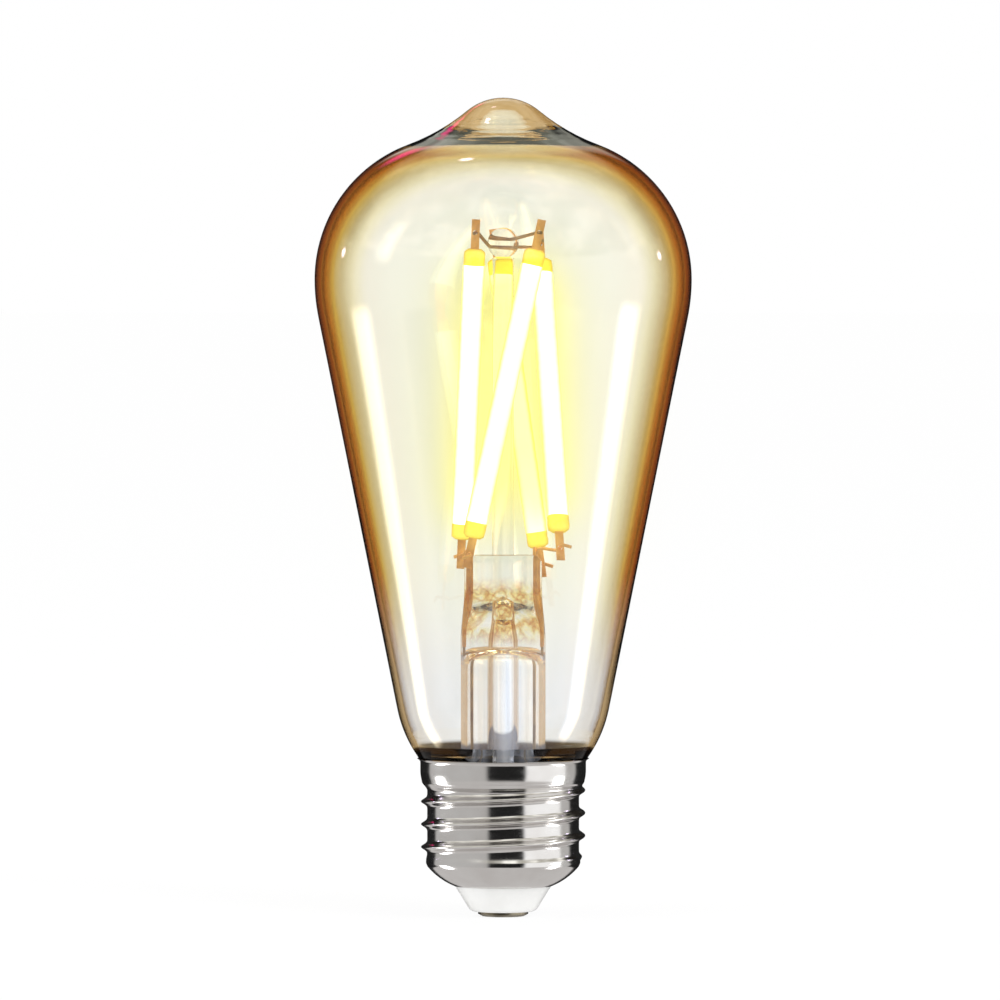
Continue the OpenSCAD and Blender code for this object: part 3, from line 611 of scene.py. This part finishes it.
def softened_piece(node, width, segments=2):
    """A copy of a CAD node's shape with its sharp edges rounded."""
    shape = bmesh.new()
    shape.from_mesh(frame["nodes"][node].data)
    bmesh.ops.remove_doubles(shape, verts=shape.verts, dist=1e-7)
    bmesh.ops.dissolve_limit(
        shape, angle_limit=math.radians(1), verts=shape.verts, edges=shape.edges
    )
    mesh = bpy.data.meshes.new(node + "_mesh")
    shape.to_mesh(mesh)
    shape.free()
    mesh.materials.clear()
    piece = new_piece(node + "_piece", mesh, node)
    bevel = piece.modifiers.new("edges", "BEVEL")
    bevel.width = width
    bevel.segments = segments
    bevel.limit_method = "ANGLE"
    bevel.angle_limit = math.radians(40)
    applied(piece)
    smooth(piece.data, 35)
    return piece


# ---------------------------------------------------------------- glass

STEM_R = 6.75 * MM
STEM_WALL = 1.0 * MM
FLARE_H = 6.5 * MM
FLARE_R = size_of("stem_tube").x / 2
PRESS_W = 12.4 * MM
PRESS_T = 5.0 * MM
PRESS_LEN = 13.6 * MM
EXHAUST_BORE_R = 1.7 * MM
EXHAUST_HOLE_Z = stem_high.z - 0.58 * PRESS_LEN
POST_R = 1.7 * MM


def make_envelope():
    """Envelope with its hollow; the neck's two faces take a glass of their own."""
    inside_high = neck_top + 4 * MM
    outside_high = neck_top + 2.2 * MM
    piece = turned_piece("glass_envelope", steps=4, sides=224, angle=50)
    piece.data.materials.append(neck_glass("neck_inside", 1.5, False))
    piece.data.materials.append(neck_glass("neck_outside", 1.12, True))
    for face in piece.data.polygons:
        out = Vector((face.center.x, face.center.y, 0))
        if face.center.z < inside_high and face.normal.dot(out) < 0:
            face.material_index = 1
        elif face.center.z < outside_high:
            face.material_index = 2
    piece.pass_index = 1


def flare_bow(t):
    """Share of the flare's extra width that is left at a share t of its height."""
    return 1 - math.sqrt(max(1 - (1 - t) ** 2, 0))


def stem_section(z):
    """Half width, half thickness and bend of the stem's outline at a height."""
    if z <= stem_low.z + FLARE_H:
        r = STEM_R + (FLARE_R - STEM_R) * flare_bow((z - stem_low.z) / FLARE_H)
        return r, r, 1.0
    squeeze_len = 8.0 * MM
    rounding = 1.2 * MM
    t = eased((z - stem_high.z + PRESS_LEN) / squeeze_len)
    end = min(max((z - stem_high.z + rounding) / rounding, 0), 1)
    shrink = 1 - 0.16 * end * end
    half_w = (STEM_R + (PRESS_W / 2 - STEM_R) * t) * shrink
    half_t = (STEM_R + (PRESS_T / 2 - STEM_R) * t) * shrink
    return half_w, half_t, 2 / (2 + 1.6 * t)


def stem_hollow():
    """Outline of the stem's hollow: open at the flare, domed at its top, narrow up to the hole."""
    bore_r = STEM_R - STEM_WALL
    throat_r = 2.6 * MM
    dome_h = 3.4 * MM
    foot_z = stem_low.z - STEM_WALL
    outline = [Vector((0, foot_z)), Vector((FLARE_R - STEM_WALL, foot_z))]
    for i in range(13):
        t = i / 12
        r = bore_r + (FLARE_R - STEM_R) * flare_bow(t)
        outline.append(Vector((r, stem_low.z + (FLARE_H - STEM_WALL) * t)))
    for i in range(9):
        a = math.pi / 2 * i / 8
        r = throat_r + (bore_r - throat_r) * math.cos(a)
        outline.append(Vector((r, exhaust_top - dome_h * (1 - math.sin(a)))))
    outline.append(Vector((EXHAUST_BORE_R, exhaust_top + 0.02 * MM)))
    outline.append(Vector((EXHAUST_BORE_R, EXHAUST_HOLE_Z)))
    outline.append(Vector((0, EXHAUST_HOLE_Z + 1.2 * MM)))
    return outline


def make_stem():
    """Flare and tube with a pinch that flows from round to flat, hollow up to the exhaust hole."""
    sides = 96
    press_low = stem_high.z - PRESS_LEN
    flare_top = stem_low.z + FLARE_H
    heights = between(stem_low.z, flare_top, 14) + between(flare_top, press_low, 6)
    heights += between(press_low, stem_high.z, 26) + [stem_high.z]
    verts = [(x, y, z) for z in heights for x, y in oval(*stem_section(z), sides)]
    mesh = mesh_from("stem_tube_mesh", verts, tube_faces(len(heights), sides))
    stem = new_piece("stem_tube_piece", mesh, "stem_tube")

    vent_r = EXHAUST_BORE_R * 0.9
    vent_outline = [(0, 0), (vent_r, 0), (vent_r, PRESS_T), (0, PRESS_T)]
    vent = turned("vent_mesh", [Vector(p) for p in vent_outline], 48)
    middle = Matrix.Translation((0, 0, EXHAUST_HOLE_Z - EXHAUST_BORE_R))
    vent.transform(middle @ Matrix.Rotation(math.pi / 2, 4, "X"))
    cut_out(stem, [turned("cavity_mesh", stem_hollow(), 96), vent])
    smooth(stem.data, 40)


def cut_out(piece, meshes):
    """Cuts the shapes of other meshes out of a piece."""
    tools = [bpy.data.objects.new(mesh.name, mesh) for mesh in meshes]
    for tool in tools:
        bpy.context.scene.collection.objects.link(tool)
        cut = piece.modifiers.new(tool.name, "BOOLEAN")
        cut.operation = "DIFFERENCE"
        cut.solver = "EXACT"
        cut.object = tool
    applied(piece)
    for tool in tools:
        bpy.data.objects.remove(tool)


def make_post():
    """Glass rod whose top is melted into a bead round the upper wires."""
    bead_r = size_of("centre_post").x / 2
    bead_z = post_high.z - bead_r
    foot_z = post_low.z + 0.02 * MM
    neck_a = math.acos(POST_R / bead_r) + 0.25
    steps = 13
    points = [
        Vector((0, foot_z)), Vector((POST_R, foot_z)), Vector((POST_R, bead_z - bead_r * 1.4)),
        Vector((POST_R * 1.03, bead_z - bead_r * math.sin(neck_a) - 0.3 * MM)),
    ]
    for i in range(steps):
        a = -neck_a + (math.pi / 2 + neck_a) * i / steps
        points.append(Vector((bead_r * math.cos(a), bead_z + bead_r * math.sin(a))))
    points.append(Vector((0, bead_z + bead_r)))
    mesh = turned("centre_post_mesh", points, 64)
    mesh.materials.append(POST_GLASS)
    new_piece("centre_post_piece", mesh, "centre_post", 50)


# ---------------------------------------------------------------- filaments

COAT_W = 3.4 * MM
COAT_T = 2.6 * MM
COAT_END = 2.5 * MM
BACK_FILAMENT = 4


def make_filament_coat(number):
    """Coat with rounded ends in three stretches: unlit, lit over the chips, unlit."""
    node = f"filament_{number}_coat"
    sides = 32
    rows = 110
    rounding = 0.7 * MM
    corners = [v.co.copy() for v in frame["nodes"][f"filament_{number}_carrier"].data.vertices]
    middle = sum(corners, Vector()) / len(corners)
    axis = longest_way(corners)
    if axis.z < 0:
        axis = -axis
    wide = second_way(corners, axis)
    deep = axis.cross(wide)
    along = [(v.co - middle).dot(axis) for v in frame["nodes"][node].data.vertices]
    start, stop = min(along), max(along)
    verts = []
    for i in range(rows + 1):
        s = start + (stop - start) * i / rows
        edge = min(s - start, stop - s) / rounding
        size = math.sqrt(max(1 - (1 - min(edge, 1)) ** 2, 0)) * 0.35 + 0.65
        size *= 1 + 0.012 * math.sin(i * 1.7 + number) + 0.01 * math.sin(i * 0.61 + 2 * number)
        for x, y in oval(COAT_W / 2 * size, COAT_T / 2 * size, 0.8, sides):
            verts.append(middle + axis * s + wide * x + deep * y)
    mesh = mesh_from(node + "_mesh", verts, tube_faces(rows + 1, sides))
    mesh.materials.append(BACK_PHOSPHOR if number == BACK_FILAMENT else MATERIALS["phosphor"])
    mesh.materials.append(UNLIT_PHOSPHOR)
    for face in mesh.polygons:
        s = (face.center - middle).dot(axis)
        face.material_index = 0 if start + COAT_END < s < stop - COAT_END else 1
    piece = new_piece(node + "_piece", mesh, node, 50)
    piece.visible_glossy = False


def longest_way(corners):
    """Direction of the longest edge among a box's eight corners."""
    best = max(((a - b) for a in corners for b in corners), key=lambda v: v.length)
    middle = sum(corners, Vector()) / len(corners)
    top = [p for p in corners if (p - middle).dot(best) > 0]
    bottom = [p for p in corners if (p - middle).dot(best) <= 0]
    return (sum(top, Vector()) / len(top) - sum(bottom, Vector()) / len(bottom)).normalized()


def second_way(corners, axis):
    """Direction of a box's second longest edge, square to axis."""
    flat = [p - axis * p.dot(axis) for p in corners]
    middle = sum(flat, Vector()) / len(flat)
    ends = sorted({tuple(round(c, 7) for c in (p - middle)) for p in flat})
    first = Vector(ends[0])
    others = sorted((Vector(end) for end in ends[1:]), key=lambda v: (v - first).length)
    return (others[1] - first).normalized()


# ---------------------------------------------------------------- cap

SHEET = 0.3 * MM
COLLAR_R = 13.2 * MM
COLLAR_LOW = 21.6 * MM
CREST_R = 13.1 * MM
ROOT_R = 12.1 * MM
PITCH = 3.629 * MM
THREAD_START = 9.2 * MM
THREAD_LOW = 8.7 * MM
THREAD_FADE = 1.6 * MM
SKIRT_R = 12.3 * MM
SKIRT_BAND = 0.5 * MM
BOW_R = 10.9 * MM
BOW_A = math.radians(52)
MOUTH_R = 7.8 * MM
LIP_H = 0.9 * MM
LIP_OUT = 0.5 * MM
# Curl of the lip's outside as (rise, reach) in millimetres
LIP_CURL = ((0.15, 0.0), (0.35, 0.02), (0.5, 0.08), (0.62, 0.18), (0.72, 0.31), (0.8, 0.44))


def rolled_r(a, z):
    """Radius of the rolled sheet's outside at angle a and height z."""
    barrel_h = 1.7 * MM
    share = ((1 + math.cos(2 * math.pi * (z - THREAD_START) / PITCH - a)) / 2) ** 4.5
    grown = eased((z - THREAD_LOW) / THREAD_FADE)
    joined = eased((z - COLLAR_LOW) / THREAD_FADE + 1)
    thread = ROOT_R + (CREST_R - ROOT_R) * share
    barrel = 0.22 * MM * min(max((COLLAR_LOW + barrel_h - z) / barrel_h, 0), 1) ** 2
    return (1 - joined) * ((1 - grown) * SKIRT_R + grown * thread) + joined * (COLLAR_R - barrel)


def shell_rings(inset):
    """Rings of (radius rule, height) from the mouth up to the lip, set inwards."""
    rings = []
    r = BOW_R - inset
    bow_x = SKIRT_R - BOW_R * math.sin(BOW_A)
    bow_z = THREAD_LOW - SKIRT_BAND + BOW_R * math.cos(BOW_A)
    low_a, high_a = (-math.acos((x - bow_x) / r) for x in (MOUTH_R, SKIRT_R - inset))
    for a in between(low_a, high_a, 15):
        rings.append((lambda _, r=bow_x + r * math.cos(a): r, bow_z + r * math.sin(a)))
    low, high = THREAD_LOW - SKIRT_BAND / 2, COLLAR_LOW + 1.8 * MM
    for z in between(low, high, 132) + [high]:
        rings.append((lambda a, z=z: rolled_r(a, z) - inset, z))
    for rise, reach in LIP_CURL:
        z = neck_top - LIP_H + rise * MM
        rings.append((lambda _, r=COLLAR_R + reach * MM - inset: r, z))
    return rings


def make_shell():
    """Rolled shell: lip, collar, knuckle thread, skirt and turned-in mouth, as one thin sheet."""
    sides = 200
    top_r = COLLAR_R + LIP_OUT
    rim = [
        (lambda _: top_r - 0.02 * MM, neck_top - 0.08 * MM), (lambda _: top_r - 0.12 * MM, neck_top),
        (lambda _: top_r - 0.18 * MM, neck_top - 0.05 * MM),
    ]
    rings = shell_rings(0.0) + rim + shell_rings(SHEET)[::-1]
    verts = []
    for rule, z in rings:
        for j in range(sides):
            a = 2 * math.pi * j / sides
            r = rule(a)
            verts.append((r * math.cos(a), r * math.sin(a), z))
    mesh = mesh_from("screw_shell_mesh", verts, tube_faces(len(rings), sides, closed=True))
    new_piece("screw_shell_piece", mesh, "screw_shell", 60)


# ---------------------------------------------------------------- build the pieces

make_envelope()
make_stem()
make_post()
turned_piece("exhaust_tube", steps=1, sides=64)
for number in (1, 2, 3, 4):
    make_filament_coat(number)
    softened_piece(f"filament_{number}_tabs", 0.05 * MM)
make_shell()
turned_piece("cap_insulator", steps=3, sides=128)
turned_piece("centre_contact", steps=1, sides=128, angle=60)
for node in ("driver_board", "radio_board", "bridge_rectifier", "driver_chip", "radio_crystal"):
    softened_piece(node, 0.08 * MM)

for name, node in frame["nodes"].items():
    smooth(node.data, 35)
    node.data.materials.clear()
    node.data.materials.append(MATERIALS[SLOT_OF[name]])


# ---------------------------------------------------------------- stage and light

def make_floor():
    """Plain pale floor that keeps only a faint shadow of the lamp."""
    half = 12.0
    mesh = mesh_from("floor_mesh", [
        (-half, -half, 0), (half, -half, 0), (half, half, 0), (-half, half, 0)
    ], [[0, 1, 2, 3]])
    floor = bpy.data.objects.new("floor", mesh)
    floor.location.z = contact_low - 0.02 * MM
    bpy.context.scene.collection.objects.link(floor)
    s = Shader("floor")
    pale = s.add("ShaderNodeEmission", {"Color": (1, 1, 1, 1), "Strength": 1.0})
    matt = s.add("ShaderNodeBsdfDiffuse", {"Color": (0.95, 0.95, 0.95, 1)})
    both = s.add("ShaderNodeMixShader", {0: 0.12, 1: pale.outputs[0], 2: matt.outputs[0]})
    clear = s.add("ShaderNodeBsdfTransparent")
    side = s.add("ShaderNodeNewGeometry")
    shown = s.add("ShaderNodeMixShader", {
        0: side.outputs["Backfacing"], 1: both.outputs[0], 2: clear.outputs[0]
    })
    s.tree.links.new(shown.outputs[0], s.out.inputs["Surface"])
    mesh.materials.append(s.mat)
    floor.visible_glossy = False
    floor.visible_transmission = False


class Sky(Nodes):
    """World nodes that place cards and lights by their direction from the lamp."""

    def __init__(self, world):
        super().__init__(world.node_tree)
        self.way = self.add("ShaderNodeTexCoord").outputs["Generated"]
        parts = self.add("ShaderNodeSeparateXYZ", {0: self.way}).outputs
        self.x = parts["X"]
        self.y = parts["Y"]
        # Degrees round the lamp from its front, to its right, and degrees above the level
        self.turn = self.degrees("ARCTAN2", self.x, self.maths("MULTIPLY", self.y, -1.0))
        self.rise = self.degrees("ARCSINE", parts["Z"])
        self.colour = None

    def degrees(self, operation, a, b=0.0):
        """One step of arithmetic whose result is an angle, in degrees."""
        return self.maths("MULTIPLY", self.maths(operation, a, b), 180 / math.pi)

    def window(self, value, low, high, soft):
        """One inside low to high, zero outside, with soft ends."""
        up = self.step(value, low - soft, low + soft)
        down = self.step(value, high - soft, high + soft, 1.0, 0.0)
        return self.maths("MULTIPLY", up, down)

    def spot(self, direction, radius, soft):
        """One within radius degrees of a direction."""
        unit = Vector(direction).normalized()
        dot = self.add("ShaderNodeVectorMath", {0: self.way, 1: unit}, operation="DOT_PRODUCT")
        angle = self.degrees("ARCCOSINE", self.maths("MINIMUM", dot.outputs["Value"], 1.0))
        return self.step(angle, radius - soft, radius + soft, 1.0, 0.0)

    def light(self, colour, power, mask):
        """Adds a light of a colour and power where the mask is one."""
        glow = self.add("ShaderNodeVectorMath", {
            0: tuple(c * power for c in colour), "Scale": mask
        }, operation="SCALE")
        both = self.add(
            "ShaderNodeVectorMath", {0: self.colour, 1: glow.outputs[0]}, operation="ADD"
        )
        self.colour = both.outputs[0]


def make_cards(sky):
    """Cards round the lamp: dark, grey and white upright ones, clouds above and grey below."""
    dark = (0.015, 0.015, 0.015)
    grey = (0.56, 0.55, 0.54)
    white = (1.15, 1.15, 1.15)
    edges = (
        (-180, dark), (-128, dark), (-122, grey), (-25, grey), (-20, dark), (30, dark),
        (34, white), (95, white), (100, grey), (119, grey), (124, dark), (180, dark),
    )
    share = sky.maths("ADD", sky.maths("DIVIDE", sky.turn, 360.0), 0.5)
    upright = sky.ramp(share, [(angle / 360 + 0.5, colour) for angle, colour in edges])
    noise = sky.add("ShaderNodeTexNoise", {
        "Vector": sky.way, "Scale": 2.6, "Detail": 3.0, "Roughness": 0.55
    }).outputs["Fac"]
    clouds = sky.ramp(noise, [
        (0.36, (0.42, 0.40, 0.33)), (0.50, (0.70, 0.68, 0.62)), (0.64, (1.4, 1.38, 1.30)),
    ])
    below = sky.step(sky.rise, -23, -17, 1.0, 0.0)
    beyond = sky.step(sky.y, 0.18, 0.42)
    beside = sky.step(sky.maths("ABSOLUTE", sky.x), 0.15, 0.25)
    backdrop = sky.maths("MULTIPLY", beyond, sky.maths(
        "MAXIMUM", sky.window(sky.rise, -20, 17, 4),
        sky.maths("MULTIPLY", beside, sky.window(sky.rise, 10, 36, 4)),
    ))
    around = sky.mix(below, clouds, (0.62, 0.60, 0.59, 1))
    around = sky.mix(backdrop, around, (0.012, 0.010, 0.008, 1))
    sky.colour = sky.mix(sky.window(sky.rise, -22, 17, 2), around, upright)


def make_strips(sky):
    """Two tall strip lights, three violet points and a pink one."""
    for low, high in ((-110, -94), (81, 95)):
        strip = sky.maths(
            "MULTIPLY", sky.window(sky.turn, low, high, 4), sky.window(sky.rise, -38, -12, 4)
        )
        sky.light((1, 1, 1), 6.5, strip)
    for direction in ((-0.177, 0.434, 0.883), (0.90, 0.396, 0.18), (-0.86, 0.47, 0.19)):
        sky.light((0.80, 0.66, 1.0), 16, sky.spot(direction, 1.6, 1.2))
    sky.light((1.0, 0.03, 0.25), 2.6, sky.spot((-0.24, 0.85, 0.46), 3.5, 3))


def make_world():
    """White studio whose cards and strip lights show only in reflections.

    Reflections inside the glass see amber behind the lamp. Light that comes straight through the glass
    is a little over white, so that the glass stays bright.
    """
    world = bpy.data.worlds.new("studio")
    bpy.context.scene.world = world
    world.use_nodes = True
    sky = Sky(world)
    make_cards(sky)
    make_strips(sky)
    path = sky.add("ShaderNodeLightPath").outputs
    through = path["Is Transmission Ray"]
    inside = sky.maths("MULTIPLY", through, sky.step(sky.y, -0.45, 0.25))
    mirrored = sky.maths("GREATER_THAN", path["Glossy Depth"], 0.5)
    straight = sky.mix(through, (1, 1, 1, 1), (1.1, 1.1, 1.1, 1))
    reflected = sky.mix(inside, sky.colour, (0.66, 0.44, 0.20, 1))
    colour = sky.mix(mirrored, straight, reflected)
    back = sky.add("ShaderNodeBackground", {"Color": colour, "Strength": 1.0})
    sky.add("ShaderNodeOutputWorld", {"Surface": back.outputs[0]})


def make_lamp(name, place, size, power):
    """Soft rectangular lamp aimed at the bulb's middle."""
    data = bpy.data.lights.new(name, "AREA")
    data.shape = "RECTANGLE"
    data.size, data.size_y = size
    data.energy = power
    lamp = bpy.data.objects.new(name, data)
    lamp.location = place
    lamp.rotation_euler = (lamp_mid - Vector(place)).to_track_quat("-Z", "Y").to_euler()
    lamp.visible_glossy = False
    lamp.visible_transmission = False
    bpy.context.scene.collection.objects.link(lamp)


def make_bloom():
    """Yellow light round the lit filaments, as a warm lamp leaves in a picture.

    The envelope alone has pass index 1, so the light is found only where something is seen through it.
    """
    lit_level = 1.7
    bpy.context.view_layer.use_pass_object_index = True
    scene.use_nodes = True
    picture = Nodes(scene.node_tree)

    def blend(kind, share, below, above):
        return picture.add(
            "CompositorNodeMixRGB", {0: share, 1: below, 2: above}, blend_type=kind
        ).outputs[0]

    def clamped(operation, a, b):
        return picture.add(
            "CompositorNodeMath", {0: a, 1: b}, operation=operation, use_clamp=True
        ).outputs[0]

    def blurred(source, size):
        return picture.add(
            "CompositorNodeBlur", {"Image": source, "Size": (size, size)}, filter_type="GAUSS"
        ).outputs[0]

    layers = picture.add("CompositorNodeRLayers").outputs
    image = layers["Image"]
    index_pass = next(o for o in layers if o.name in ("IndexOB", "Object Index"))
    behind_glass = blend("MULTIPLY", 1.0, image, index_pass)
    grey = picture.add("CompositorNodeRGBToBW", {0: behind_glass}).outputs[0]
    lit_parts = clamped("GREATER_THAN", grey, lit_level)
    near = clamped("MULTIPLY", blurred(lit_parts, 60), 2.0)
    far = clamped("MULTIPLY", blurred(lit_parts, 150), 2.2)
    warm = blend("MULTIPLY", near, image, (1.0, 0.975, 0.55, 1))
    warm = blend("MULTIPLY", far, warm, (1.0, 0.985, 0.70, 1))
    halo = blend("MULTIPLY", 1.0, near, (0.16, 0.14, 0.03, 1))
    picture.add("CompositorNodeComposite", {"Image": blend("ADD", 1.0, warm, halo)})


scene = bpy.context.scene
make_floor()
make_world()
make_lamp("key", (0.8, -0.9, 0.9), (0.6, 0.6), 6)
make_lamp("fill", (-0.9, -0.6, 0.5), (0.6, 0.9), 3)
make_bloom()
scene.view_settings.view_transform = "Standard"
scene.cycles.max_bounces = 24
scene.cycles.transmission_bounces = 24
scene.cycles.glossy_bounces = 8
scene.cycles.sample_clamp_indirect = 4.0
